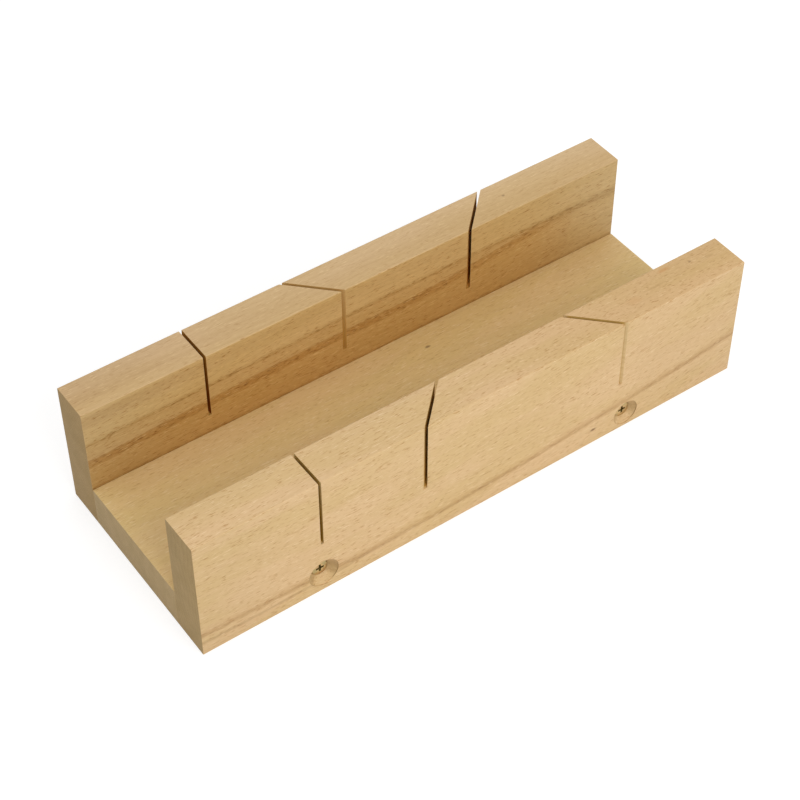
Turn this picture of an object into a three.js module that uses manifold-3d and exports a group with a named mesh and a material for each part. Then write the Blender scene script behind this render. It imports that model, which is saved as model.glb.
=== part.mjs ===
// A wooden mitre box: an open channel of three beech boards, with saw slots cut down through both walls.
// The walls stand the full height and cover the edges of the base board between them. Glue and two
// countersunk screws through each wall hold them to it.
// Lengths are in millimetres. X runs along the channel, Y from the front wall to the back wall, Z is up.
// The origin is under the middle of the box, on the plane that it stands on.

import * as THREE from 'three';
import { mergeVertices } from 'three/addons/utils/BufferGeometryUtils.js';
import Module from 'manifold-3d';

const wasm = await Module();
wasm.setup();

// The box over all.
const boxLength = 300;
const boxWidth = 113;
const boxHeight = 70;

// The boards. The base board fills what the two walls leave of the width.
const wallThickness = 21;
const baseThickness = 22;
const edgeEasing = 0.4;

// How far a cutter runs past the wood that it cuts.
const overrun = 2;

// The saw slots: the kerf, how far above the channel's floor it stops in each wall, and how far from the
// left end each slot crosses the channel's middle line.
const kerfWidth = 1.5;
const frontSlotStop = 9;
const backSlotStop = 10.7;
const squareSlotInset = 62.5;
const rightMitreInset = 173.8;
const leftMitreInset = 172.5;
const mitreAngle = Math.PI / 4;

// The wood screws. The head's cone and the countersink have the same right angle.
const screwLength = 40;
const headDiameter = 8;
const headLand = 0.4;
const shankDiameter = 2.9;
const shankLength = 15;
const threadDiameter = 4;
const coreDiameter = 2.5;
const threadPitch = 1.8;
const ridgeFoot = 0.8;
const pointLength = 5;
const pointRadius = 0.15;

// The cross recess in the head, deeper and narrower towards its middle.
const recessSpan = 4.2;
const recessWing = 1.1;
const recessCore = 1.9;
const recessDepth = 2.3;
const recessFloor = 1.4;

// Where the screws go: in from the ends, and off the middle of the base board's thickness.
const leftScrewInset = 62.7;
const rightScrewInset = 65.8;
const leftScrewRise = 0.3;
const rightScrewDrop = 2.2;

// The countersinks' mouths, how far the bit went in past its full width, and the gap all round a screw.
const leftMouth = 15.4;
const rightMouth = 14;
const backMouth = 15;
const mouthRim = 0.45;
const screwGap = 0.3;

const channelWidth = boxWidth - 2 * wallThickness;
const boreRadius = threadDiameter / 2 + screwGap;

// How fine the round forms are.
const headSides = 32;
const threadSides = 12;

const front = -1;
const back = 1;

const slots = [
  { x: squareSlotInset - boxLength / 2, turn: 0 },
  { x: rightMitreInset - boxLength / 2, turn: -mitreAngle },
  { x: leftMitreInset - boxLength / 2, turn: mitreAngle },
];

const middleOfBase = baseThickness / 2;
const leftScrewX = leftScrewInset - boxLength / 2;
const rightScrewX = boxLength / 2 - rightScrewInset;

const screws = [
  { name: 'front_screw_left', side: front, x: leftScrewX, z: middleOfBase + leftScrewRise, mouth: leftMouth },
  { name: 'front_screw_right', side: front, x: rightScrewX, z: middleOfBase - rightScrewDrop, mouth: rightMouth },
  { name: 'back_screw_left', side: back, x: leftScrewX, z: middleOfBase, mouth: backMouth },
  { name: 'back_screw_right', side: back, x: rightScrewX, z: middleOfBase, mouth: backMouth },
];

// A closed geometry made a solid that can be cut and joined.
function solidOf(geometry) {
  const bare = geometry.clone();
  bare.deleteAttribute('normal');
  bare.deleteAttribute('uv');
  const merged = mergeVertices(bare);
  const mesh = new wasm.Mesh({
    numProp: 3,
    vertProperties: new Float32Array(merged.attributes.position.array),
    triVerts: new Uint32Array(merged.index.array),
  });
  return new wasm.Manifold(mesh);
}

// A solid made a geometry again, with flat shading between its faces.
function geometryOf(solid) {
  const mesh = solid.getMesh();
  const indexed = new THREE.BufferGeometry();
  indexed.setAttribute('position', new THREE.BufferAttribute(mesh.vertProperties, 3));
  indexed.setIndex(new THREE.BufferAttribute(mesh.triVerts, 1));
  const geometry = indexed.toNonIndexed();
  geometry.computeVertexNormals();
  return geometry;
}

function shapeOf(points) {
  return new THREE.Shape(points.map(([u, v]) => new THREE.Vector2(u, v)));
}

// A form turned about the Y axis from points of radius and depth.
function turned(points, sides) {
  return new THREE.LatheGeometry(points.map(([r, y]) => new THREE.Vector2(r, y)), sides);
}

// Turns a form drawn in X and Y, and run out along Z, so that it is drawn in Y and Z and runs along X.
function alongX(geometry) {
  const along = new THREE.Vector3(1, 0, 0);
  const across = new THREE.Vector3(0, 1, 0);
  const upright = new THREE.Vector3(0, 0, 1);
  return geometry.applyMatrix4(new THREE.Matrix4().makeBasis(across, upright, along));
}

// The whole box as one block with its outer edges eased. Each board is cut to it, so only edges that
// show are eased and the glued joints stay tight.
function easedBlock() {
  const halfWidth = boxWidth / 2;
  const outline = shapeOf([
    [-halfWidth + edgeEasing, 0],
    [halfWidth - edgeEasing, 0],
    [halfWidth, edgeEasing],
    [halfWidth, boxHeight - edgeEasing],
    [halfWidth - edgeEasing, boxHeight],
    [-halfWidth + edgeEasing, boxHeight],
    [-halfWidth, boxHeight - edgeEasing],
    [-halfWidth, edgeEasing],
  ]);
  const block = new THREE.ExtrudeGeometry(outline, {
    depth: boxLength - 2 * edgeEasing,
    bevelEnabled: true,
    bevelThickness: edgeEasing,
    bevelSize: edgeEasing,
    bevelOffset: -edgeEasing,
    bevelSegments: 1,
  });
  return solidOf(alongX(block.translate(0, 0, edgeEasing - boxLength / 2)));
}

// A wall, from its outer face to the channel, with its top inner edge eased.
function wallBoard(side) {
  const outer = side * boxWidth / 2;
  const inner = side * channelWidth / 2;
  const outline = shapeOf([
    [outer, 0],
    [inner, 0],
    [inner, boxHeight - edgeEasing],
    [inner + side * edgeEasing, boxHeight],
    [outer, boxHeight],
  ]);
  const board = new THREE.ExtrudeGeometry(outline, { depth: boxLength, bevelEnabled: false });
  return solidOf(alongX(board.translate(0, 0, -boxLength / 2)));
}

// The base board, with the ends of the channel's floor eased.
function baseBoard() {
  const halfLength = boxLength / 2;
  const outline = shapeOf([
    [-halfLength, 0],
    [halfLength, 0],
    [halfLength, baseThickness - edgeEasing],
    [halfLength - edgeEasing, baseThickness],
    [-halfLength + edgeEasing, baseThickness],
    [-halfLength, baseThickness - edgeEasing],
  ]);
  const board = new THREE.ExtrudeGeometry(outline, { depth: channelWidth, bevelEnabled: false });
  return solidOf(board.translate(0, 0, -channelWidth / 2).rotateX(Math.PI / 2));
}

// One pass of the saw, long enough to cross both walls at its angle.
function slotCutter(slot, stop) {
  const bottom = baseThickness + stop;
  const top = boxHeight + overrun;
  const reach = boxWidth / Math.cos(slot.turn) + 2 * overrun;
  const blade = new THREE.BoxGeometry(kerfWidth, reach, top - bottom);
  return solidOf(blade.rotateZ(slot.turn).translate(slot.x, 0, (top + bottom) / 2));
}

// How deep the head's face lies under the wall's face, with its cone clear of the countersink.
function headDepth(screw) {
  const coneGap = screwGap * Math.SQRT2;
  return mouthRim + (screw.mouth - headDiameter) / 2 - headLand - coneGap;
}

// The countersink, with its short upright rim, and the bore behind it, which ends in the drill point's cone.
function screwHole(screw) {
  const mouthRadius = screw.mouth / 2;
  const bottom = headDepth(screw) + screwLength + screwGap;
  const hole = turned([
    [0, -overrun],
    [mouthRadius, -overrun],
    [mouthRadius, mouthRim],
    [boreRadius, mouthRim + mouthRadius - boreRadius],
    [boreRadius, bottom],
    [0, bottom + boreRadius / 2],
  ], headSides);
  return solidOf(seatAt(hole, screw, 0));
}

// Puts a form that is drawn along Y at a screw's place, pointing into the wall, that deep under its face.
function seatAt(geometry, screw, depth) {
  const halfTurn = screw.side === front ? 0 : Math.PI;
  const y = screw.side * (boxWidth / 2 - depth);
  return geometry.rotateZ(halfTurn).translate(screw.x, y, screw.z);
}

function boardWithHoles(board, holes) {
  return holes.reduce((wood, hole) => wood.subtract(hole), board);
}

function wall(side) {
  const stop = side === front ? frontSlotStop : backSlotStop;
  const cuts = slots.map((slot) => slotCutter(slot, stop));
  const holes = screws.filter((screw) => screw.side === side).map(screwHole);
  return boardWithHoles(wallBoard(side).intersect(easedBlock()), [...cuts, ...holes]);
}

function base() {
  return boardWithHoles(baseBoard().intersect(easedBlock()), screws.map(screwHole));
}

// The core's radius at a depth under the head's face: even, and then tapered to the point.
function coreRadius(depth) {
  const share = Math.min(1, (screwLength - depth) / pointLength);
  return pointRadius + (coreDiameter / 2 - pointRadius) * share;
}

// The screw's core with its right-hand thread, from inside the plain shank to the point. The thread's ridge
// is a strip of foot, crest and foot that winds up the core, so its rows of points lie along the helix. It
// rises from nothing in its first half turn and sinks to nothing in its last.
function threadedCore() {
  const start = shankLength;
  const turns = Math.floor((screwLength - start - ridgeFoot - 2 * pointRadius) / threadPitch);
  const last = turns * threadSides;
  const rise = threadSides / 2;
  const ridgeHeight = (threadDiameter - coreDiameter) / 2;
  const rowOffsets = [0, ridgeFoot / 2, ridgeFoot];
  const positions = [];
  const triangles = [];

  function addPoint(angle, radius, depth) {
    positions.push(radius * Math.cos(angle), depth, -radius * Math.sin(angle));
    return positions.length / 3 - 1;
  }

  function addRing(radius, depth) {
    const steps = Array.from({ length: threadSides }, (_, i) => i);
    return steps.map((i) => addPoint(2 * Math.PI * i / threadSides, radius, depth));
  }

  function addFace(...corners) {
    for (let i = 1; i < corners.length - 1; i += 1) {
      triangles.push(corners[0], corners[i + 1], corners[i]);
    }
  }

  const rows = [];
  for (let i = 0; i <= last; i += 1) {
    const angle = 2 * Math.PI * i / threadSides;
    const height = ridgeHeight * Math.min(1, i / rise, (last - i) / rise);
    rows.push(rowOffsets.map((offset, row) => {
      const depth = start + threadPitch * i / threadSides + offset;
      const lift = row === 1 ? height : 0;
      return addPoint(angle, coreRadius(depth) + lift, depth);
    }));
  }

  // Both flanks of the ridge, and the core between one turn and the next.
  for (let i = 0; i < last; i += 1) {
    addFace(rows[i][0], rows[i][1], rows[i + 1][1], rows[i + 1][0]);
    addFace(rows[i][1], rows[i][2], rows[i + 1][2], rows[i + 1][1]);
    if (i + threadSides < last) {
      addFace(rows[i][2], rows[i + threadSides][0], rows[i + threadSides + 1][0], rows[i + 1][2]);
    }
  }

  // The end inside the shank: a ring, closed in its middle, and joined to the first turn's foot.
  const nearRing = addRing(coreDiameter / 2, start - overrun);
  const nearMiddle = addPoint(0, 0, start - overrun);
  for (let i = 0; i < threadSides; i += 1) {
    const next = (i + 1) % threadSides;
    addFace(nearMiddle, nearRing[i], nearRing[next]);
    if (next > 0) addFace(nearRing[i], rows[i][0], rows[i + 1][0], nearRing[next]);
  }
  const closing = rows[threadSides - 1][0];
  addFace(closing, rows[threadSides][0], rows[0][2], rows[0][1], rows[0][0], nearRing[0], nearRing.at(-1));

  // The point: the last turn's foot joined to a small ring, closed by the tip.
  const farRing = addRing(pointRadius, screwLength - pointRadius);
  const tip = addPoint(0, 0, screwLength);
  const lastTurn = last - threadSides;
  for (let i = 0; i < threadSides; i += 1) {
    const next = (i + 1) % threadSides;
    addFace(tip, farRing[next], farRing[i]);
    if (i > 0) addFace(rows[lastTurn + i][2], farRing[i], farRing[next], rows[lastTurn + i + 1][2]);
  }
  const opening = rows[lastTurn + 1][2];
  addFace(opening, rows[lastTurn][2], rows[last][0], rows[last][1], rows[last][2], farRing[0], farRing[1]);

  const geometry = new THREE.BufferGeometry();
  geometry.setAttribute('position', new THREE.Float32BufferAttribute(positions, 3));
  geometry.setIndex(triangles);
  return geometry;
}

// The head, flat on top, with a narrow land at its rim, and the plain shank behind it.
function headAndShank() {
  const coneEnd = headLand + (headDiameter - shankDiameter) / 2;
  return turned([
    [0, 0],
    [headDiameter / 2, 0],
    [headDiameter / 2, headLand],
    [shankDiameter / 2, coneEnd],
    [shankDiameter / 2, shankLength],
    [0, shankLength],
  ], headSides);
}

// The cross recess: two crossed blades and a turned core, all inside one tapered form.
function recessCutter() {
  const height = recessDepth + recessFloor + overrun;
  const middle = height / 2 - overrun;
  const blade = new THREE.BoxGeometry(recessSpan, height, recessWing).translate(0, middle, 0);
  const core = new THREE.BoxGeometry(recessCore, height, recessCore).translate(0, middle, 0);
  const taper = turned([
    [0, -overrun],
    [recessSpan / 2, -overrun],
    [recessSpan / 2, 0],
    [recessFloor / 2, recessDepth],
    [0, recessDepth + recessFloor / 4],
  ], headSides);
  const cross = solidOf(blade.clone().rotateY(Math.PI / 2)).add(solidOf(blade));
  return cross.add(solidOf(core.rotateY(Math.PI / 4))).intersect(solidOf(taper));
}

function screwGeometry() {
  return geometryOf(solidOf(headAndShank()).add(solidOf(threadedCore())).subtract(recessCutter()));
}

// Finishes: pale beech, planed and left bare, and yellow zinc on steel.
function beech(color) {
  return new THREE.MeshStandardMaterial({ color, roughness: 0.7, metalness: 0 });
}

function yellowZinc() {
  return new THREE.MeshStandardMaterial({ color: 0xc9b87a, roughness: 0.35, metalness: 0.9 });
}

function named(name, geometry, material) {
  const mesh = new THREE.Mesh(geometry, material);
  mesh.name = name;
  return mesh;
}

const mitreBox = new THREE.Group();
mitreBox.add(named('base_board', geometryOf(base()), beech(0xcfab74)));
mitreBox.add(named('front_wall', geometryOf(wall(front)), beech(0xddbe8a)));
mitreBox.add(named('back_wall', geometryOf(wall(back)), beech(0xc59c63)));

for (const screw of screws) {
  mitreBox.add(named(screw.name, seatAt(screwGeometry(), screw, headDepth(screw)), yellowZinc()));
}

export default mitreBox;
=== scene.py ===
import math

import bmesh
import bpy
from mathutils import Matrix, Vector


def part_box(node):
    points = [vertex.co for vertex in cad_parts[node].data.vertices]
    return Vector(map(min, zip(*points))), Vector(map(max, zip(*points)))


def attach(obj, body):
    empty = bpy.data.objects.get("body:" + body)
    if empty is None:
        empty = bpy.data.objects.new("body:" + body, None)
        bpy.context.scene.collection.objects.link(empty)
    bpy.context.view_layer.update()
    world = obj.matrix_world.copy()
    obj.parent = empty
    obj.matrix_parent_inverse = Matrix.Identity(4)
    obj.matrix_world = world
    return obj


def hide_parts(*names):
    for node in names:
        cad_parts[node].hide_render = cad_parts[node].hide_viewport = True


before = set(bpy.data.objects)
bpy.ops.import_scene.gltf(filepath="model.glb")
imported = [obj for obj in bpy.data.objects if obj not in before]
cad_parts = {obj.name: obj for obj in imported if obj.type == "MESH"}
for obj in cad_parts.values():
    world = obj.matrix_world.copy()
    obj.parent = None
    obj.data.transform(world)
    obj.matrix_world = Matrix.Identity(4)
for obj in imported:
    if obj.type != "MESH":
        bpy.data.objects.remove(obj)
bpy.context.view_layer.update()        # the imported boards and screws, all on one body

# A wooden mitre box: two slotted walls of beech on the edges of a base board, held by four
# countersunk screws. Lengths are in metres, and inside materials in millimetres. X runs along the
# channel, Y from the front wall to the back wall, Z is up.

mm = 0.001
near = 0.01 * mm         # how close a point has to be to count as lying on a face
axisX, axisY, axisZ = 0, 1, 2

frontLow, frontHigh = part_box("front_wall")
backLow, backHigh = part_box("back_wall")
baseLow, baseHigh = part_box("base_board")
boxLength = frontHigh.x - frontLow.x
boxHeight = frontHigh.z
floorHeight = baseHigh.z


# Small helpers

def switchTo(mode):
    bpy.ops.object.mode_set(mode=mode)


def startClean():
    if bpy.context.object and bpy.context.object.mode != "OBJECT":
        switchTo("OBJECT")
    bpy.ops.object.select_all(action="DESELECT")


def workOn(piece):
    startClean()
    piece.select_set(True)
    bpy.context.view_layer.objects.active = piece


def openMesh(piece, selection, parts=None):
    # into edit mode with everything selected or nothing, and by points or edges where that matters
    workOn(piece)
    switchTo("EDIT")
    if parts:
        bpy.ops.mesh.select_mode(type=parts)
    bpy.ops.mesh.select_all(action=selection)


def settle(piece):
    workOn(piece)
    bpy.ops.object.transform_apply(location=True, rotation=True, scale=True)


def applyModifier(piece, kind, **settings):
    workOn(piece)
    modifier = piece.modifiers.new(kind.title(), kind)
    for key, value in settings.items():
        setattr(modifier, key, value)
    bpy.ops.object.modifier_apply(modifier=modifier.name)


def combine(piece, other, operation):
    applyModifier(piece, "BOOLEAN", operation=operation, solver="MANIFOLD",
                  material_mode="TRANSFER", object=other)
    bpy.data.objects.remove(other, do_unlink=True)


def faceOutwards(piece):
    openMesh(piece, "SELECT")
    bpy.ops.mesh.normals_make_consistent(inside=False)
    if bmesh.from_edit_mesh(piece.data).calc_volume(signed=True) < 0:
        bpy.ops.mesh.flip_normals()
    switchTo("OBJECT")


def addBlock(name, low, high, material):
    startClean()
    bpy.ops.mesh.primitive_cube_add(size=1, location=(low + high) / 2)
    block = bpy.context.object
    block.name = name
    block.data.name = name
    block.scale = high - low
    settle(block)
    block.data.materials.append(material)
    return block


def addRoundBar(name, sides, sections, material=None):
    # a bar along Y from sections of (depth, radius): a disc, pushed in and scaled step by step
    startClean()
    depth, radius = sections[0]
    bpy.ops.mesh.primitive_circle_add(vertices=sides, radius=radius, fill_type="NGON",
                                      location=(0, depth, 0), rotation=(math.radians(90), 0, 0))
    bar = bpy.context.object
    bar.name = name
    bar.data.name = name
    settle(bar)
    openMesh(bar, "SELECT")
    for nextDepth, nextRadius in sections[1:]:
        push, scale = (0, nextDepth - depth, 0), nextRadius / radius
        bpy.ops.mesh.extrude_region_move(TRANSFORM_OT_translate={"value": push})
        bpy.ops.transform.resize(value=(scale,) * 3, center_override=(0, nextDepth, 0))
        depth, radius = nextDepth, nextRadius
    switchTo("OBJECT")
    faceOutwards(bar)
    if material:
        bar.data.materials.append(material)
    return bar


def pickEdges(piece, wanted, openOnly=False):
    # leaves the piece in edit mode with only those edges selected whose two ends pass the test
    openMesh(piece, "DESELECT", "EDGE")
    if openOnly:
        bpy.ops.mesh.select_non_manifold()
    switchTo("OBJECT")
    points = piece.data.vertices
    for edge in piece.data.edges:
        allowed = edge.select or not openOnly
        edge.select = allowed and wanted(*(points[i].co for i in edge.vertices))
    switchTo("EDIT")


def onPlane(start, end, axis, place):
    return abs(start[axis] - place) < near and abs(end[axis] - place) < near


def level(start, end, axis):
    return abs(start[axis] - end[axis]) < near


# Colours and shader nodes

def colour(red, green, blue):
    # a colour picked on screen, 0 to 255, as the linear one that Blender works in
    linear = [((c / 255 + 0.055) / 1.055) ** 2.4 if c > 10 else c / 255 / 12.92
              for c in (red, green, blue)]
    return (*linear, 1.0)


white = colour(255, 255, 255)


def newMaterial(name):
    made = bpy.data.materials.new(name)
    made.use_nodes = True
    return made, made.node_tree, made.node_tree.nodes["Principled BSDF"]


def feed(tree, node, inputs):
    # links the inputs that come from another node, and sets the others
    for key, value in dict(inputs).items():
        if isinstance(value, bpy.types.NodeSocket):
            tree.links.new(value, node.inputs[key])
        else:
            node.inputs[key].default_value = value


def addNode(tree, kind, inputs=(), **settings):
    made = tree.nodes.new("ShaderNode" + kind)
    for key, value in settings.items():
        setattr(made, key, value)
    feed(tree, made, inputs)
    return made


def calc(tree, operation, *values):
    return addNode(tree, "Math", enumerate(values), operation=operation).outputs[0]


def plus(tree, first, second):
    return calc(tree, "ADD", first, second)


def minus(tree, first, second):
    return calc(tree, "SUBTRACT", first, second)


def times(tree, first, second):
    return calc(tree, "MULTIPLY", first, second)


def vectorCalc(tree, operation, first, second):
    return addNode(tree, "VectorMath", {0: first, 1: second}, operation=operation).outputs[0]


def distance(tree, first, second):
    made = addNode(tree, "VectorMath", {0: first, 1: second}, operation="DISTANCE")
    return made.outputs["Value"]


def separate(tree, vector):
    return addNode(tree, "SeparateXYZ", {0: vector}).outputs[:3]


def join(tree, x, y, z):
    return addNode(tree, "CombineXYZ", {0: x, 1: y, 2: z}).outputs[0]


def mixValues(tree, share, first, second):
    # the Mix node names its inputs alike for values and for colours, so they go by number
    return addNode(tree, "Mix", {0: share, 2: first, 3: second}, data_type="FLOAT").outputs[0]


def mixColours(tree, share, first, second, kind="MIX"):
    made = addNode(tree, "Mix", {0: share, 6: first, 7: second}, data_type="RGBA", blend_type=kind)
    return made.outputs[2]


def tint(tree, share, first, tone):
    return mixColours(tree, share, first, tone, "MULTIPLY")


def ramp(tree, value, start, end, low=0.0, high=1.0):
    inputs = {"Value": value, "From Min": start, "From Max": end, "To Min": low, "To Max": high}
    return addNode(tree, "MapRange", inputs, interpolation_type="SMOOTHSTEP").outputs[0]


def noise(tree, vector, texture, output="Fac"):
    # a texture's size is that of one patch along X, Y and Z
    made = addNode(tree, "TexNoise", {
        "Vector": vectorCalc(tree, "DIVIDE", vector, texture["size"]),
        "Scale": 1.0,
        "Detail": texture.get("detail", 2.0),
        "Roughness": texture.get("roughness", 0.5),
    })
    return made.outputs[output]


noiseMiddle = 0.5


def patches(tree, vector, texture, low=0.0, high=1.0):
    # the texture's noise, low under the first of its limits and high over the second
    return ramp(tree, noise(tree, vector, texture), *texture["limits"], low, high)


def millimetres(tree):
    # the point on the piece, in the piece's own space
    return vectorCalc(tree, "DIVIDE", addNode(tree, "TexCoord").outputs["Object"], (mm, mm, mm))


def facings(tree):
    # how squarely the surface faces along X, Y and Z, either way, from 0 to 1
    normal = addNode(tree, "TexCoord").outputs["Normal"]
    return [calc(tree, "ABSOLUTE", part) for part in separate(tree, normal)]


def roughSurface(tree, shader, height, relief):
    bump = addNode(tree, "Bump", {"Strength": 1.0, "Distance": relief * mm, "Height": height})
    tree.links.new(bump.outputs[0], shader.inputs["Normal"])


# Beech. Everything is drawn in the solid wood, so flecks and bands run on from face to face.

beechTextures = {
    "sway": {"size": (60, 14, 14), "detail": 1.0},
    "broad": {"size": (70, 16, 16), "detail": 3.0, "limits": (0.36, 0.64)},
    "drift": {"size": (140, 30, 30), "detail": 1.0},
    "fibre": {"size": (24, 0.45, 0.45), "detail": 3.0, "roughness": 0.65, "limits": (0.42, 0.75)},
    "rag": {"size": (12, 1.5, 1.5), "detail": 3.0},
    "breaks": {"size": (20, 2, 2), "limits": (0.3, 0.65)},
    "dashes": {"size": (3.2, 0.7, 0.7), "limits": (0.5, 0.68)},
    "shine": {"size": (4.0, 0.55, 0.45), "detail": 1.5, "limits": (0.56, 0.78)},
    "flecks": {"size": (3.5, 0.5, 0.42), "detail": 1.5, "limits": (0.56, 0.76)},
    "rays": {"size": (0.9, 9.0, 40.0), "limits": (0.5, 0.75)},
    "pores": {"size": (0.6, 0.28, 0.28), "roughness": 0.7, "limits": (0.5, 0.72)},
    "patch": {"size": (30, 9, 9), "limits": (0.35, 0.65)},
    "scratches": {"size": (2.0, 12.0, 0.35)},
}

# over which values of facings a surface comes to count as an end, and as a top or a side
endLimits = (0.35, 0.92)
sideLimits = (0.6, 0.95)


def curveHeight(tree, along, places):
    # a height that follows places of (x, height) along the board
    reach, top = boxLength / mm, boxHeight / mm
    made = addNode(tree, "FloatCurve", {0: 1.0})
    points = made.mapping.curves[0].points
    for i, (x, height) in enumerate(places):
        spot = (x / reach + 0.5, height / top)
        if i < len(points):
            points[i].location = spot
        else:
            points.new(*spot)
    made.mapping.update()
    feed(tree, made, {"Value": plus(tree, calc(tree, "DIVIDE", along, reach), 0.5)})
    return times(tree, made.outputs[0], top)


def grainSpace(tree, look, x, y, z):
    # the grain's own space, which follows the board's rise and sways, and the height on the face
    height = minus(tree, z, times(tree, minus(tree, y, look["face"]), look["dip"]))
    grain = join(tree, x, y, minus(tree, height, curveHeight(tree, x, look["flow"])))
    grain = vectorCalc(tree, "ADD", grain, look["shift"])
    sway = noise(tree, grain, beechTextures["sway"], "Color")
    sway = vectorCalc(tree, "SUBTRACT", sway, (noiseMiddle,) * 3)
    sway = vectorCalc(tree, "MULTIPLY", sway, (0, look["sway"], look["sway"]))
    return vectorCalc(tree, "ADD", grain, sway), height


def bandShare(tree, band, height, along):
    # how strongly a band shows: soft above and below its line, and fading along the board
    off = minus(tree, height, curveHeight(tree, along, band["line"]))
    share = ramp(tree, off, *band["above"], 1.0, 0.0)
    if band["below"]:
        share = times(tree, share, ramp(tree, off, *band["below"]))
    for fade in band["fades"]:
        share = times(tree, share, ramp(tree, along, *fade))
    return share


def addBands(tree, look, wood, grain, height, x):
    # brown bands and streaks, each on its own line along the board
    breaks = noise(tree, grain, beechTextures["breaks"])
    dashes = patches(tree, grain, beechTextures["dashes"])
    for band in look["bands"]:
        share = bandShare(tree, band, height, x)
        whole = ramp(tree, breaks, *beechTextures["breaks"]["limits"], band["faintest"], 1.0)
        wood = tint(tree, times(tree, share, whole), wood, band["colour"])
        if "dashes" in band:
            inBand = times(tree, times(tree, share, dashes), band["dashes"])
            wood = tint(tree, inBand, wood, look["dashColour"])
    return wood


def addMarks(tree, look, wood, point, rag):
    # pin knots and stains
    for spot, size, share, tone in look["marks"]:
        middle = Vector(s / w for s, w in zip(spot, size))
        away = distance(tree, vectorCalc(tree, "DIVIDE", point, size), middle)
        mark = ramp(tree, plus(tree, away, rag), *look["markEdge"], share, 0.0)
        wood = mixColours(tree, mark, wood, tone)
    return wood


def addToneAndLight(tree, look, wood, place, faceY, faceZ):
    # the tone of the tops and sides, and how it changes across them: partly the wood's own, partly
    # painted light and shade
    facing = {"top": ramp(tree, faceZ, *sideLimits), "side": ramp(tree, faceY, *sideLimits)}
    wood = tint(tree, facing["top"], wood, look["topToneAndLight"])
    wood = tint(tree, facing["side"], wood, look["sideToneAndLight"])
    for face, axis, start, end, tone in look["toneAndLightAcross"]:
        share = times(tree, facing[face], ramp(tree, place[axis], start, end))
        wood = tint(tree, share, wood, tone)
    return wood


def endGrain(tree, look, point, grain, x, fromPith, late, pores):
    # greyer, with arcs of rings, rays that run out from the pith, and pores
    across = separate(tree, vectorCalc(tree, "SUBTRACT", grain, look["pith"]))
    angle = calc(tree, "ARCTAN2", across[axisZ], across[axisY])
    polar = join(tree, times(tree, angle, look["rayAngle"]), fromPith, x)
    rays = patches(tree, polar, beechTextures["rays"])
    patch = patches(tree, point, beechTextures["patch"], 0.0, look["endPatchShare"])
    wood = mixColours(tree, times(tree, late, look["endLateShare"]), look["end"], look["endLate"])
    wood = mixColours(tree, times(tree, rays, look["endRayShare"]), wood, look["endRay"])
    wood = tint(tree, times(tree, pores, look["endPoreShare"]), wood, look["endPore"])
    return tint(tree, patch, wood, look["endPatch"])


def beech(name, look):
    made, tree, shader = newMaterial(name)
    point = millimetres(tree)
    x, y, z = separate(tree, point)
    faceX, faceY, faceZ = facings(tree)
    grain, height = grainSpace(tree, look, x, y, z)

    # broad patches, growth rings and fine fibres
    broad = patches(tree, grain, beechTextures["broad"])
    wood = mixColours(tree, broad, look["pink"], look["yellow"])
    fromPith = distance(tree, vectorCalc(tree, "MULTIPLY", grain, (0, 1, 1)), look["pith"])
    drift = times(tree, noise(tree, grain, beechTextures["drift"]), look["ringDrift"])
    rings = plus(tree, calc(tree, "DIVIDE", fromPith, look["ring"]), drift)
    late = ramp(tree, calc(tree, "FRACT", rings), *look["lateWood"])
    wood = mixColours(tree, times(tree, late, look["ringShare"]), wood, look["late"])
    fibre = noise(tree, grain, beechTextures["fibre"])
    fibres = ramp(tree, fibre, *beechTextures["fibre"]["limits"], 0.0, look["fibreShare"])
    wood = mixColours(tree, fibres, wood, look["late"])

    rag = minus(tree, noise(tree, grain, beechTextures["rag"]), noiseMiddle)
    ragged = plus(tree, height, times(tree, rag, look["rag"]))
    wood = addBands(tree, look, wood, grain, ragged, x)

    # the short flecks that mark beech, shiny ones, whose shine is painted as a lighter colour, and
    # dark ones
    aside = vectorCalc(tree, "ADD", grain, look["shineShift"])
    shine = patches(tree, aside, beechTextures["shine"], 0.0, look["shineShare"])
    wood = mixColours(tree, shine, wood, look["shine"])
    flecks = patches(tree, grain, beechTextures["flecks"])
    strength = ramp(tree, faceZ, *sideLimits, look["fleckShare"], look["topFlecks"])
    wood = tint(tree, times(tree, flecks, strength), wood, look["fleckColour"])

    wood = addMarks(tree, look, wood, point, rag)
    wood = addToneAndLight(tree, look, wood, (x, y, z), faceY, faceZ)
    pores = patches(tree, point, beechTextures["pores"])
    endWood = endGrain(tree, look, point, grain, x, fromPith, late, pores)
    endShare = ramp(tree, faceX, *endLimits)

    # the surface: fibres and flecks in long grain, the crosscut saw's scratches on the ends
    scratches = noise(tree, point, beechTextures["scratches"])
    sideLift = times(tree, fibre, look["fibreLift"])
    sideLift = minus(tree, sideLift, times(tree, flecks, look["fleckDent"]))
    endLift = minus(tree, scratches, times(tree, pores, look["poreDent"]))
    roughSurface(tree, shader, mixValues(tree, endShare, sideLift, endLift), look["relief"])
    gloss = ramp(tree, fibre, *look["glossLimits"], *look["roughness"])
    feed(tree, shader, {
        "Base Color": mixColours(tree, endShare, wood, endWood),
        "Roughness": mixValues(tree, endShare, gloss, look["endRoughness"]),
        "Specular IOR Level": look["specular"],
    })
    return made


sawnCut = {
    "heights": (36, 70),         # over these heights the low colours pass into the others
    "depths": (0.5, 1.9),        # and over these depths, those of the mouth into those inside
    "scratches": {"size": (6.0, 6.0, 0.35), "detail": 3.0, "roughness": 0.6, "limits": (0.4, 0.7)},
    "scratchShare": 0.4,
    "fuzz": {"size": (0.3, 0.3, 0.3)},
    "fuzzLift": 0.6,
    "squareLimits": (0.76, 0.92),
    "relief": 0.12,
    "roughness": 0.9,
    "specular": 0.1,
}


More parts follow.
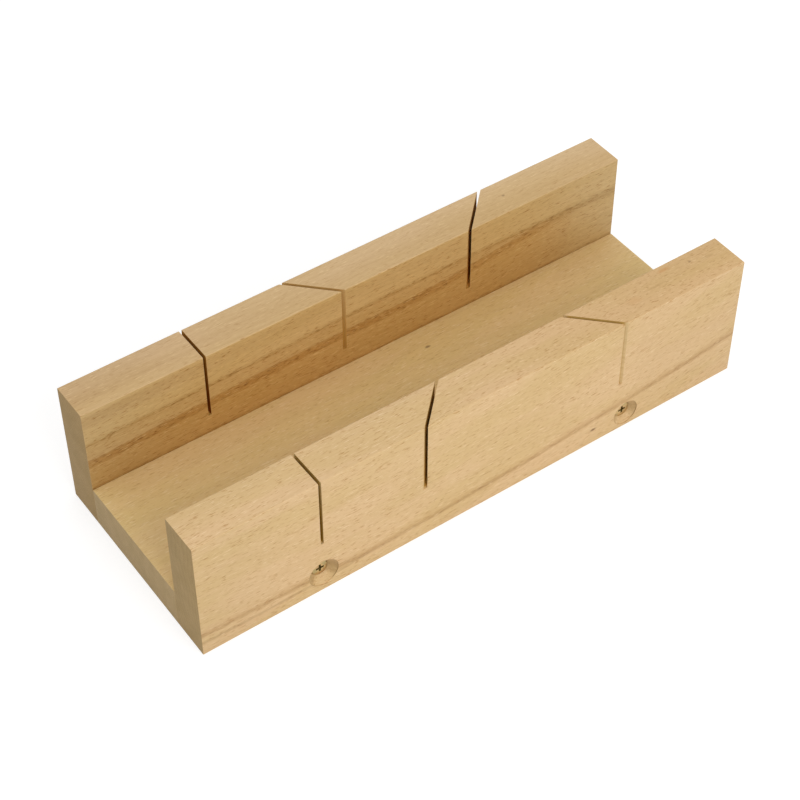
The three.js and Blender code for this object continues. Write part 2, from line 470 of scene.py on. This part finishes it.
def sawnWood(name, low, high, look):
    # inside the slots: torn fibres, dull and warmer than outside, with the saw's level scratches.
    # The colour changes with height and with depth from the mouth: painted light and shade in the
    # narrow slot.
    made, tree, shader = newMaterial(name)
    point = millimetres(tree)
    x, y, z = separate(tree, point)
    scratches = noise(tree, point, sawnCut["scratches"])
    fuzz = noise(tree, point, sawnCut["fuzz"])
    depth = calc(tree, "MINIMUM", minus(tree, y, low.y / mm), minus(tree, high.y / mm, y))
    up = ramp(tree, z, *sawnCut["heights"])
    mouth = mixColours(tree, up, look["sawnMouthLow"], look["sawnMouth"])
    inside = mixColours(tree, up, look["sawnDeepLow"], look["sawnDeep"])
    wood = mixColours(tree, ramp(tree, depth, *sawnCut["depths"]), mouth, inside)
    scratched = ramp(tree, scratches, *sawnCut["scratches"]["limits"], 0.0, sawnCut["scratchShare"])
    wood = mixColours(tree, scratched, wood, look["sawnDark"])

    # a square slot cuts straight across the grain, and end grain is darker; lower down it is darker
    # still, painted shade
    square = ramp(tree, facings(tree)[axisX], *sawnCut["squareLimits"])
    wood = tint(tree, square, wood, mixColours(tree, up, look["sawnSquareLow"], look["sawnSquare"]))
    lift = plus(tree, scratches, times(tree, fuzz, sawnCut["fuzzLift"]))
    roughSurface(tree, shader, lift, sawnCut["relief"])
    feed(tree, shader, {
        "Base Color": wood,
        "Roughness": sawnCut["roughness"],
        "Specular IOR Level": sawnCut["specular"],
    })
    return made


# Boards

easing = {
    "open": 0.45 * mm,           # long edges that hands touch
    "end": 0.25 * mm,            # round the sawn ends
    "joint": 0.2 * mm,           # glued edges, which leave a hairline
    "segments": 4,
    "smoothUnder": 25,           # degrees
}


def easeEdges(board, kinds):
    # each kind is a width and a test that says which edges get it
    widest = max(width for width, test in kinds)
    for width, test in kinds:
        pickEdges(board, test)
        bpy.ops.transform.edge_bevelweight(value=width / widest)
        switchTo("OBJECT")
    applyModifier(board, "BEVEL", width=widest, segments=easing["segments"], limit_method="WEIGHT",
                  use_clamp_overlap=False)


slots = {
    "kerf": 1.5 * mm,
    "frontStop": 9 * mm,         # above the channel's floor
    "backStop": 10.7 * mm,
    "places": (                  # from the left end, and the turn in degrees
        (62.5 * mm, 0),
        (173.8 * mm, -45),
        (172.5 * mm, 45),
    ),
    "overrun": 3 * mm,
    "step": 1.0 * mm,            # spacing of the points that carry the saw marks
    "rough": 0.12 * mm,
    "markSize": 2.0 * mm,
}
sawMarks = bpy.data.textures.new("sawMarks", "CLOUDS")
sawMarks.noise_scale = slots["markSize"]


def addBlade(low, high, place, turn, stop, material):
    # one pass of the saw through one wall, with sides as rough as a saw leaves them
    angle = math.radians(turn)
    reach = (high.y - low.y) / math.cos(angle) + 4 * slots["overrun"]      # two at each end
    bottom, top = floorHeight + stop, boxHeight + slots["overrun"]
    corner = Vector((slots["kerf"] / 2, reach / 2, top))
    blade = addBlock("blade", Vector((-corner.x, -corner.y, bottom)), corner, material)
    for axis, length in ((axisZ, top - bottom), (axisY, reach)):
        others = [i for i in (axisX, axisY, axisZ) if i != axis]
        pickEdges(blade, lambda a, b: all(level(a, b, i) for i in others))
        bpy.ops.mesh.subdivide(number_cuts=int(length / slots["step"]))
        switchTo("OBJECT")
    middle = (low.y + high.y) / 2
    blade.rotation_euler.z = angle
    blade.location = (place - boxLength / 2 - math.tan(angle) * middle, middle, 0)
    settle(blade)
    applyModifier(blade, "DISPLACE", texture=sawMarks, texture_coords="LOCAL",
                  strength=slots["rough"], mid_level=noiseMiddle)
    return blade


screwSizes = {
    "length": 40 * mm,
    "head": 8 * mm,
    "land": 0.4 * mm,            # the upright rim of the head
    "soften": 0.12 * mm,         # how far the head's edges are rounded
    "shank": 2.9 * mm,
    "shankLength": 15 * mm,
    "thread": 4 * mm,
    "core": 2.5 * mm,
    "pitch": 1.8 * mm,
    "ridge": 0.8 * mm,           # how wide the thread is at its foot
    "blank": 0.9,                # how thin the thread's blank starts, as a share of the core
    "point": 5 * mm,
    "tip": 0.3 * mm,
    "recess": 4.2 * mm,
    "recessWing": 1.1 * mm,
    "recessCore": 1.9 * mm,
    "recessDepth": 2.3 * mm,
    "recessFoot": 1.4 * mm,
    "sides": 96,
    "threadSides": 48,
    "smoothUnder": 35,           # degrees
}

holeSizes = {
    "rim": 0.45 * mm,            # how far the bit went in past its full width
    "gap": 0.3 * mm,
    "overrun": 1 * mm,
    "sides": 128,
}

pointedEnd = 0.05        # a bar that ends in a point is drawn in to this share of its radius
roundMiddle = 0.3        # where the middle of a rounded edge lies, as a share of its radius


def screwSeat(node):
    # where a screw sits: the middle of its head's face, and whether it points towards the back
    low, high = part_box(node)
    forward = node.startswith("front")
    face = low.y if forward else high.y
    return Vector(((low.x + high.x) / 2, face, (low.z + high.z) / 2)), forward


def putAt(piece, place, forward):
    # a piece drawn along Y from the origin goes to its place, pointing to the back or the front
    piece.rotation_euler.z = 0 if forward else math.pi
    piece.location = place
    settle(piece)


def addHole(node, wallFace):
    # the countersink with its upright rim, and the bore behind it
    seat, forward = screwSeat(node)
    rim, gap = holeSizes["rim"], holeSizes["gap"]
    depth = abs(seat.y - wallFace)
    mouth = depth - rim + screwSizes["land"] + gap * math.sqrt(2) + screwSizes["head"] / 2
    bore = screwSizes["thread"] / 2 + gap
    bottom = depth + screwSizes["length"] + gap
    hole = addRoundBar("hole", holeSizes["sides"], (
        (-holeSizes["overrun"], mouth),
        (rim, mouth),
        (rim + mouth - bore, bore),
        (bottom, bore),
        (bottom + bore / 2, bore * pointedEnd),
    ))
    putAt(hole, Vector((seat.x, wallFace, seat.z)), forward)
    return hole


def addWall(name, low, high, outer, stop, screwNodes, look):
    inner = low.y + high.y - outer
    wall = addBlock(name, low, high, beech(name + "Beech", look))
    easeEdges(wall, (
        (easing["open"], lambda a, b: onPlane(a, b, axisZ, high.z) and level(a, b, axisY)),
        (easing["open"], lambda a, b: onPlane(a, b, axisZ, low.z) and onPlane(a, b, axisY, outer)),
        (easing["joint"], lambda a, b: onPlane(a, b, axisZ, low.z) and onPlane(a, b, axisY, inner)),
        (easing["end"], lambda a, b: level(a, b, axisX)),
    ))
    for node in screwNodes:
        combine(wall, addHole(node, outer), "DIFFERENCE")
    sawn = sawnWood(name + "Sawn", low, high, look)
    for place, turn in slots["places"]:
        combine(wall, addBlade(low, high, place, turn, stop, sawn), "DIFFERENCE")
    return wall


def addBase(name, low, high, holes, look):
    base = addBlock(name, low, high, beech(name + "Beech", look))
    easeEdges(base, (
        (easing["end"], lambda a, b: level(a, b, axisX) and level(a, b, axisZ)),
        (easing["joint"], lambda a, b: level(a, b, axisY)),
    ))
    for node, wallFace in holes:
        combine(base, addHole(node, wallFace), "DIFFERENCE")
    return base


print("mitre box: boards")
frontScrews = ("front_screw_left", "front_screw_right")
backScrews = ("back_screw_left", "back_screw_right")

# What the three boards share. The colours of dark flecks, bands, dashes, tints and shifts of tone
# and painted light, pores, patches and square slots multiply what is under them: 255 leaves it as
# it is, more lightens it.
plainBeech = {
    "dip": 0.35,                 # how far the grain rises for each millimetre towards the back
    "sway": 2.4,
    "ring": 2.8,                 # from one growth ring to the next
    "ringDrift": 4.0,            # how many rings they wander
    "lateWood": (0.35, 0.97),    # over which part of a ring it darkens
    "ringShare": 0.10,
    "late": colour(196, 158, 106),
    "fibreShare": 0.2,
    "shineShare": 0.66,
    "shineShift": (50, 0, 0),    # keeps the shiny flecks away from the dark ones
    "fleckShare": 0.74,
    "fleckColour": colour(201, 168, 115),
    "rag": 1.4,                  # how far the edges of bands are torn
    "dashColour": colour(208, 194, 172),
    "markEdge": (0.25, 1.0),     # over which part of its size a mark fades
    "bands": (),
    # tints and shifts of tone on tops and sides, which also hold painted light and shade
    "topToneAndLight": white,
    "sideToneAndLight": white,
    "toneAndLightAcross": (),
    "rayAngle": 400.0,           # how many millimetres one radian round the pith is drawn out to
    "endLateShare": 0.35,
    "endRayShare": 0.35,
    "endPoreShare": 0.8,
    "endPore": colour(180, 168, 156),
    "endPatchShare": 0.7,
    "endPatch": colour(244, 244, 238),
    "fibreLift": 0.7,
    "fleckDent": 0.5,
    "poreDent": 0.6,
    "relief": 0.03,
    "glossLimits": (0.3, 0.7),
    "roughness": (0.57, 0.68),   # from the smoothest fibre to the roughest
    "endRoughness": 0.8,
    "specular": 0.35,
}
pinKnot = colour(134, 98, 62)

# "flow" is the line that the grain follows, as places of (x, height), and "pith" is where the
# middle of the tree lay. A mark has its place, size, strength and colour. A shift across a face,
# partly the wood's own tone and partly painted light and shade, has its face, the axis along which
# it comes up, from where to where, and its colour.
# A band lies along its line. It fades out over "above" and comes up over "below", in heights off
# that line. Along X it changes over each of its fades: from, to, and its strength at both.
# "faintest" is its strength where it breaks up, and "dashes" that of the short dark dashes in it.

frontLine = ((-150, 12.6), (-100, 10.8), (-60, 9.0), (-33, 9.3), (0, 10.8), (25, 11.8), (50, 14.2),
             (73, 16.3), (100, 18.7), (117, 20.3), (150, 24.2))
frontLook = {
    **plainBeech,
    "pink": colour(223, 189, 142),
    "yellow": colour(217, 185, 132),
    "shine": colour(241, 213, 170),
    "topFlecks": 0.72,
    "shift": (12, 4, 3),
    "face": frontLow.y / mm,
    "flow": ((-150, 12), (-100, 10.5), (-60, 9.2), (0, 10.8), (50, 14), (100, 18.7), (150, 24.2)),
    "pith": (0, -150, 40),
    "marks": (
        ((64.5, -56.5, 9), (2.4, 1.5, 1.2), 1.0, pinKnot),
        ((129.4, -41.3, 70), (1.3, 0.9, 0.9), 0.5, pinKnot),
        ((115.5, -38.8, 70), (5.0, 1.5, 1.3), 0.5, colour(208, 152, 90)),
        ((91.5, -47, 70), (5.0, 3.0, 2.0), 0.25, colour(208, 156, 96)),
        ((105, -45.2, 70), (7.5, 1.0, 0.9), 0.35, colour(186, 148, 94)),
        ((138.5, -43.4, 70), (5.0, 1.0, 0.9), 0.35, colour(186, 152, 98)),
    ),
    # tops a little lighter, darker and browner to the right, sides darker towards both ends: partly
    # the wood's own tone, partly painted light and shade
    "topToneAndLight": colour(262, 261, 262),
    "toneAndLightAcross": (
        ("top", axisX, -60, 120, colour(246, 241, 231)),
        ("side", axisX, -90, -135, colour(249, 249, 248)),
        ("side", axisX, 75, 100, colour(251, 250, 248)),
    ),
    "end": colour(182, 154, 106),
    "endLate": colour(167, 136, 89),
    "endRay": colour(200, 173, 127),
    # the slots' wood at the mouth and deeper in, high and low, with painted light and shade
    "sawnMouth": colour(229, 201, 150),
    "sawnMouthLow": colour(227, 195, 142),
    "sawnDeep": colour(208, 172, 98),
    "sawnDeepLow": colour(240, 200, 108),
    "sawnDark": colour(190, 147, 80),
    "sawnSquare": colour(244, 246, 236),
    "sawnSquareLow": colour(214, 203, 142),
    "bands": (
        # the streak low on the face: a soft zone with a crisp line at its foot
        {
            "line": frontLine,
            "above": (0.5, 5.5), "below": (-1.0, -0.2), "fades": (),
            "faintest": 0.8, "colour": colour(242, 236, 228),
        },
        {
            "line": frontLine,
            "above": (0.3, 2.6), "below": (-1.9, -0.5), "fades": ((-135, -80, 0.7, 1.0),),
            "faintest": 0.65, "dashes": 0.45, "colour": colour(240, 235, 227),
        },
        # and a second line under it, at the left
        {
            "line": ((-150, 7.8), (-95, 7.0), (-75, 7.5), (-50, 8.8), (0, 9.8), (150, 22)),
            "above": (0.0, 1.6), "below": (-1.4, -0.2), "fades": ((-70, -45, 1.0, 0.0),),
            "faintest": 0.6, "colour": colour(231, 225, 217),
        },
    ),
}

upperLine = ((-150, 50.8), (-100, 51.6), (-35, 52.6), (15, 53.7), (60, 53.8), (100, 53.2),
             (150, 52.4))
lowerLine = ((-150, 39.2), (-95, 41.3), (-35, 43.3), (30, 43.8), (60, 46.2), (83, 49.0),
             (100, 50.6), (150, 52.4))
backLook = {
    **plainBeech,
    "pink": colour(217, 183, 138),
    "yellow": colour(213, 179, 131),
    "late": colour(180, 140, 88),
    "shine": colour(232, 200, 152),
    "fleckShare": 0.88,
    "topFlecks": 0.4,
    "shift": (150, 60, 30),
    "face": backLow.y / mm,
    "flow": ((-150, 45), (-95, 46.5), (-35, 48), (30, 48.7), (60, 50), (100, 52), (150, 52.5)),
    "pith": (0, 160, -60),
    "marks": (((87.5, 46.5, 70), (1.4, 1.0, 1.0), 0.6, pinKnot),),
    # tops lighter, darker towards the channel; sides warmer, cooler towards both ends: partly the
    # wood's own tone, partly painted light and shade
    "topToneAndLight": colour(261, 264, 265),
    "sideToneAndLight": colour(248, 246, 219),
    "toneAndLightAcross": (
        ("top", axisY, 54, 38, colour(244, 240, 229)),
        ("side", axisX, -70, -150, colour(244, 248, 260)),
        ("side", axisX, 60, 145, colour(248, 253, 264)),
    ),
    "end": colour(177, 148, 101),
    "endLate": colour(160, 131, 86),
    "endRay": colour(193, 165, 119),
    # the slots' wood at the mouth and deeper in, high and low, with painted light and shade
    "sawnMouth": colour(210, 173, 112),
    "sawnMouthLow": colour(188, 143, 72),
    "sawnDeep": colour(204, 164, 98),
    "sawnDeepLow": colour(246, 190, 94),
    "sawnDark": colour(182, 124, 58),
    "sawnSquare": colour(228, 206, 140),
    "sawnSquareLow": colour(192, 146, 80),
    "bands": (
        # everything under the upper line is a little browner
        {
            "line": upperLine,
            "above": (-0.8, 0.6), "below": (), "fades": ((112, 135, 1.0, 0.3),),
            "faintest": 1.0, "colour": colour(243, 236, 226),
        },
        # the upper line, which fades upwards
        {
            "line": upperLine,
            "above": (-0.2, 2.4), "below": (-1.8, -0.6), "fades": ((112, 125, 1.0, 0.2),),
            "faintest": 0.6, "dashes": 0.9, "colour": colour(238, 232, 219),
        },
        # the broad band, with a crisp top and bottom
        {
            "line": lowerLine,
            "above": (0.9, 2.0), "below": (-4.3, -2.3),
            "fades": ((95, 118, 1.0, 0.0), (20, 80, 1.0, 0.75)),
            "faintest": 0.75, "dashes": 1.0, "colour": colour(236, 224, 205),
        },
        # heartwood under it
        {
            "line": lowerLine,
            "above": (-1.0, 2.2), "below": (),
            "fades": ((95, 130, 1.0, 0.0), (-40, 10, 1.0, 0.75)),
            "faintest": 1.0, "colour": colour(252, 244, 225),
        },
        # a slightly browner zone near the top, at the left
        {
            "line": ((-150, 62), (150, 62)),
            "above": (5, 7), "below": (-4, 2),
            "fades": ((-130, -40, 1.0, 0.35), (40, 90, 1.0, 0.0)),
            "faintest": 0.8, "colour": colour(242, 238, 236),
        },
        # a dark line where the wall stands on the channel's floor
        {
            "line": ((-150, 22), (150, 22)),
            "above": (0.2, 2.4), "below": (-1.5, 0), "fades": (),
            "faintest": 0.5, "dashes": 0.7, "colour": colour(226, 217, 202),
        },
        # where the two lines run together, crisp above and fading downwards
        {
            "line": ((-150, 50.6), (100, 52.2), (117, 52.8), (150, 52.4)),
            "above": (0.2, 2.0), "below": (-6.0, -0.5), "fades": ((98, 118, 0.0, 1.0),),
            "faintest": 0.85, "dashes": 0.5, "colour": colour(239, 236, 230),
        },
    ),
}

baseLook = {
    **plainBeech,
    "pink": colour(231, 199, 141),
    "yellow": colour(227, 197, 134),
    "shine": colour(248, 224, 178),
    "topFlecks": 0.48,
    "shift": (-60, 30, 80),
    "face": 0,
    "flow": ((-150, 0), (150, 3)),
    "pith": (0, 20, -120),
    "marks": (((26, 23, 22), (2.0, 1.1, 1.0), 0.75, pinKnot),),
    "end": colour(190, 164, 120),
    "endLate": colour(175, 146, 103),
    "endRay": colour(207, 181, 138),
}

frontWall = addWall("frontWall", frontLow, frontHigh, frontLow.y, slots["frontStop"], frontScrews,
                    frontLook)
backWall = addWall("backWall", backLow, backHigh, backHigh.y, slots["backStop"], backScrews,
                   backLook)
baseHoles = [(node, frontLow.y) for node in frontScrews]
baseHoles += [(node, backHigh.y) for node in backScrews]
baseBoard = addBase("baseBoard", baseLow, baseHigh, baseHoles, baseLook)

for board, node, materialSlot in (
    (frontWall, "front_wall", "beech_front"),
    (backWall, "back_wall", "beech_back"),
    (baseBoard, "base_board", "beech_base"),
):
    workOn(board)
    bpy.ops.object.shade_smooth_by_angle(angle=math.radians(easing["smoothUnder"]))
    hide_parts(node)
    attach(board, "root")


# Screws, drawn along Y with the head's face at the origin

zinc = {
    "patches": {"size": (3, 3, 3), "detail": 3.0},
    "green": colour(178, 162, 114),
    "goldLimits": (0.3, 0.5),
    "gold": colour(200, 171, 118),
    "roseLimits": (0.52, 0.7),
    "rose": colour(190, 154, 114),
    "scuffs": {"size": (0.25, 0.25, 0.25), "detail": 3.0, "roughness": 0.7, "limits": (0.3, 0.7)},
    "roughness": (0.26, 0.50),
    "relief": 0.02,
    # the recess's colours are painted shade, darker still in patches
    "recess": colour(116, 94, 30),
    "darkerRecessShade": colour(66, 50, 10),
    "dust": {"size": (0.6, 0.6, 0.6), "detail": 3.0, "limits": (0.35, 0.7)},
    "recessShadePatchShare": 0.6,
    "recessMetal": 0.5,
    "recessRoughness": 0.6,
}


def yellowZinc():
    # thin yellow passivation over zinc, green and rose in patches
    made, tree, shader = newMaterial("yellowZinc")
    point = millimetres(tree)
    hue = noise(tree, point, zinc["patches"])
    scuffs = noise(tree, point, zinc["scuffs"])
    metal = mixColours(tree, ramp(tree, hue, *zinc["goldLimits"]), zinc["green"], zinc["gold"])
    metal = mixColours(tree, ramp(tree, hue, *zinc["roseLimits"]), metal, zinc["rose"])
    roughSurface(tree, shader, scuffs, zinc["relief"])
    feed(tree, shader, {
        "Base Color": metal,
        "Metallic": 1.0,
        "Roughness": ramp(tree, scuffs, *zinc["scuffs"]["limits"], *zinc["roughness"]),
    })
    return made


def shadedRecessZinc():
    # the recess: dull plating, painted dark as the shade in it, darker still in patches
    made, tree, shader = newMaterial("shadedRecessZinc")
    dust = patches(tree, millimetres(tree), zinc["dust"], 0.0, zinc["recessShadePatchShare"])
    feed(tree, shader, {
        "Base Color": mixColours(tree, dust, zinc["recess"], zinc["darkerRecessShade"]),
        "Metallic": zinc["recessMetal"],
        "Roughness": zinc["recessRoughness"],
    })
    return made


def addRecess(material):
    # two crossed wings and a core turned by 45 degrees, all held within a tapered plug
    top, bottom = -screwSizes["land"], screwSizes["recessDepth"] + screwSizes["recessFoot"]
    parts = []
    for width, height, turn in (
        (screwSizes["recess"], screwSizes["recessWing"], 0),
        (screwSizes["recess"], screwSizes["recessWing"], 90),
        (screwSizes["recessCore"], screwSizes["recessCore"], 45),
    ):
        corner = Vector((width / 2, bottom, height / 2))
        part = addBlock("recess", Vector((-corner.x, top, -corner.z)), corner, material)
        part.rotation_euler.y = math.radians(turn)
        settle(part)
        parts.append(part)
    recess = parts[0]
    combine(recess, parts[1], "UNION")
    combine(recess, parts[2], "UNION")
    mouth, foot = screwSizes["recess"] / 2, screwSizes["recessFoot"] / 2
    depth = screwSizes["recessDepth"]
    plug = addRoundBar("plug", screwSizes["threadSides"], (
        (2 * top, mouth),
        (0, mouth),
        (depth, foot),
        (depth + foot / 2, foot * pointedEnd),
    ), material)
    combine(recess, plug, "INTERSECT")
    return recess


def closeTo(piece, tip, wanted):
    # draws one open end of a winding together to a point on the axis
    pickEdges(piece, wanted, openOnly=True)
    bpy.ops.mesh.extrude_edges_move()
    bpy.ops.transform.resize(value=(0, 0, 0), center_override=(0, tip, 0))
    bpy.ops.mesh.merge(type="CENTER")
    switchTo("OBJECT")


def addWinding(material):
    # the thread: one tooth's outline wound round the axis, tapered to the point, with closed ends
    length, sides = screwSizes["length"], screwSizes["threadSides"]
    core, pitch, ridge = screwSizes["core"] / 2, screwSizes["pitch"], screwSizes["ridge"]
    lift = screwSizes["thread"] / 2 - core
    taperAt = length - screwSizes["point"]
    turns = math.ceil((length - screwSizes["shankLength"]) / pitch) + 1
    end = length - screwSizes["tip"]
    start = end - turns * pitch
    startClean()
    bpy.ops.mesh.primitive_plane_add(size=mm)
    winding = bpy.context.object
    winding.name = "winding"
    winding.data.materials.append(material)
    openMesh(winding, "SELECT", "VERT")
    bpy.ops.mesh.merge(type="CENTER")
    bpy.ops.transform.translate(value=(core, start - taperAt, 0))
    for step in ((0, pitch - ridge, 0), (lift, ridge / 2, 0), (-lift, ridge / 2, 0)):
        bpy.ops.mesh.extrude_vertices_move(TRANSFORM_OT_translate={"value": step})
    switchTo("OBJECT")
    applyModifier(winding, "SCREW", axis="Y", angle=math.tau, screw_offset=pitch,
                  iterations=turns - 1, steps=sides, render_steps=sides)
    openMesh(winding, "SELECT")
    bpy.ops.mesh.remove_doubles(threshold=near)
    switchTo("OBJECT")
    share = (taperAt - start) / (end - start)          # the taper starts at the piece's own origin
    applyModifier(winding, "SIMPLE_DEFORM", deform_method="TAPER", deform_axis="Y",
                  limits=(share, 1), factor=screwSizes["tip"] / screwSizes["core"] - 1)
    winding.location.y = taperAt
    settle(winding)
    middle = (start + end) / 2
    closeTo(winding, start, lambda a, b: a.y < middle)
    closeTo(winding, length, lambda a, b: a.y > middle)
    faceOutwards(winding)
    return winding, start


def addScrew():
    metal = yellowZinc()
    soften, land = screwSizes["soften"], screwSizes["land"]
    head, shank, core = (screwSizes[part] / 2 for part in ("head", "shank", "core"))
    crest, neck = screwSizes["thread"] / 2, screwSizes["shankLength"]
    screw = addRoundBar("screw", screwSizes["sides"], (
        (0, head - soften),
        (soften * roundMiddle, head - soften * roundMiddle),
        (soften, head),
        (land, head),
        (land + head - shank - soften, shank + soften),
        (land + head - shank + soften, shank),
        (neck - soften, shank),
        (neck, shank - soften),
    ), metal)
    winding, start = addWinding(metal)

    # the thread is cut on a turned blank, which lets it rise gently from the shank
    blank = addRoundBar("blank", screwSizes["sides"], (
        (start - soften, core * screwSizes["blank"]),
        (neck - soften, core * screwSizes["blank"]),
        (neck + screwSizes["pitch"], crest + soften),
        (screwSizes["length"] + soften, crest + soften),
    ), metal)
    combine(winding, blank, "INTERSECT")
    combine(screw, winding, "UNION")
    combine(screw, addRecess(shadedRecessZinc()), "DIFFERENCE")
    return screw


print("mitre box: screws")
screw = addScrew()
for node in frontScrews + backScrews:
    seat, forward = screwSeat(node)
    piece = screw.copy()
    piece.data = screw.data.copy()
    piece.name = "".join(word.title() for word in node.split("_"))
    bpy.context.scene.collection.objects.link(piece)
    putAt(piece, seat, forward)
    bpy.ops.object.shade_smooth_by_angle(angle=math.radians(screwSizes["smoothUnder"]))
    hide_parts(node)
    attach(piece, "root")
bpy.data.objects.remove(screw, do_unlink=True)


# Floor, backdrop, light and camera

print("mitre box: stage")
stage = {
    "size": 8.0,
    "below": 0.1 * mm,           # how far the floor lies under the box
    "bounced": 0.86,             # how pale the floor is in the light that it throws on the box
    "seen": 0.45,                # how pale to the camera, which with its own glow comes out white
    "glow": 0.70,
    "roughness": 0.9,
    "specular": 0.1,
    "skyLight": 0.60,
}


def whiteForCamera(tree):
    # 1 for rays from the camera, and for those that metal and glass send on
    rays = addNode(tree, "LightPath").outputs
    seen = calc(tree, "MAXIMUM", rays["Is Camera Ray"], rays["Is Glossy Ray"])
    return calc(tree, "MAXIMUM", seen, rays["Is Transmission Ray"])


startClean()
bpy.ops.mesh.primitive_plane_add(size=stage["size"], location=(0, 0, -stage["below"]))
floor = bpy.context.object
floor.name = "floor"
paper, paperTree, paperShader = newMaterial("paper")
seenShare = whiteForCamera(paperTree)
paleness = mixValues(paperTree, seenShare, stage["bounced"], stage["seen"])
pale = addNode(paperTree, "CombineColor", {0: paleness, 1: paleness, 2: paleness})
feed(paperTree, paperShader, {
    "Base Color": pale.outputs[0],
    "Emission Color": white,
    "Emission Strength": times(paperTree, seenShare, stage["glow"]),
    "Roughness": stage["roughness"],
    "Specular IOR Level": stage["specular"],
})
floor.data.materials.append(paper)

world = bpy.data.worlds.new("studio")
world.use_nodes = True
bpy.context.scene.world = world
skyTree = world.node_tree
skyStrength = mixValues(skyTree, whiteForCamera(skyTree), stage["skyLight"], 1.0)
feed(skyTree, skyTree.nodes["Background"], {"Color": white, "Strength": skyStrength})

lamps = {
    "key": {"place": (0.0, -1.6, 1.2), "size": 1.2, "power": 15.0},
    "top": {"place": (0.0, 0.2, 2.0), "size": 1.6, "power": 3.7},
}
for lampName, lamp in lamps.items():
    light = bpy.data.lights.new(lampName, "AREA")
    light.shape = "SQUARE"
    light.size = lamp["size"]
    light.energy = lamp["power"]
    holder = bpy.data.objects.new(lampName, light)
    holder.location = lamp["place"]
    holder.rotation_euler = (-Vector(lamp["place"])).to_track_quat("-Z", "Y").to_euler()
    bpy.context.scene.collection.objects.link(holder)

viewpoint = {
    "place": Vector((-0.380395, -0.529307, 0.696099)),
    "lookAt": Vector((-0.012552, -0.008688, 0.035)),
    "roll": -0.115,              # degrees
    "lens": 90.18,               # millimetres, as the sensor
    "sensor": 36,
    "nearest": 0.01,
}
eye = bpy.data.cameras.new("camera")
eye.lens = viewpoint["lens"]
eye.sensor_width = viewpoint["sensor"]
eye.clip_start = viewpoint["nearest"]
cameraObject = bpy.data.objects.new("camera", eye)
aim = (viewpoint["lookAt"] - viewpoint["place"]).to_track_quat("-Z", "Y").to_matrix()
aim = aim @ Matrix.Rotation(math.radians(viewpoint["roll"]), 3, "Z")
cameraObject.location = viewpoint["place"]
cameraObject.rotation_euler = aim.to_euler()
bpy.context.scene.collection.objects.link(cameraObject)
bpy.context.scene.camera = cameraObject
bpy.context.scene.view_settings.view_transform = "Standard"

print("mitre box: done")
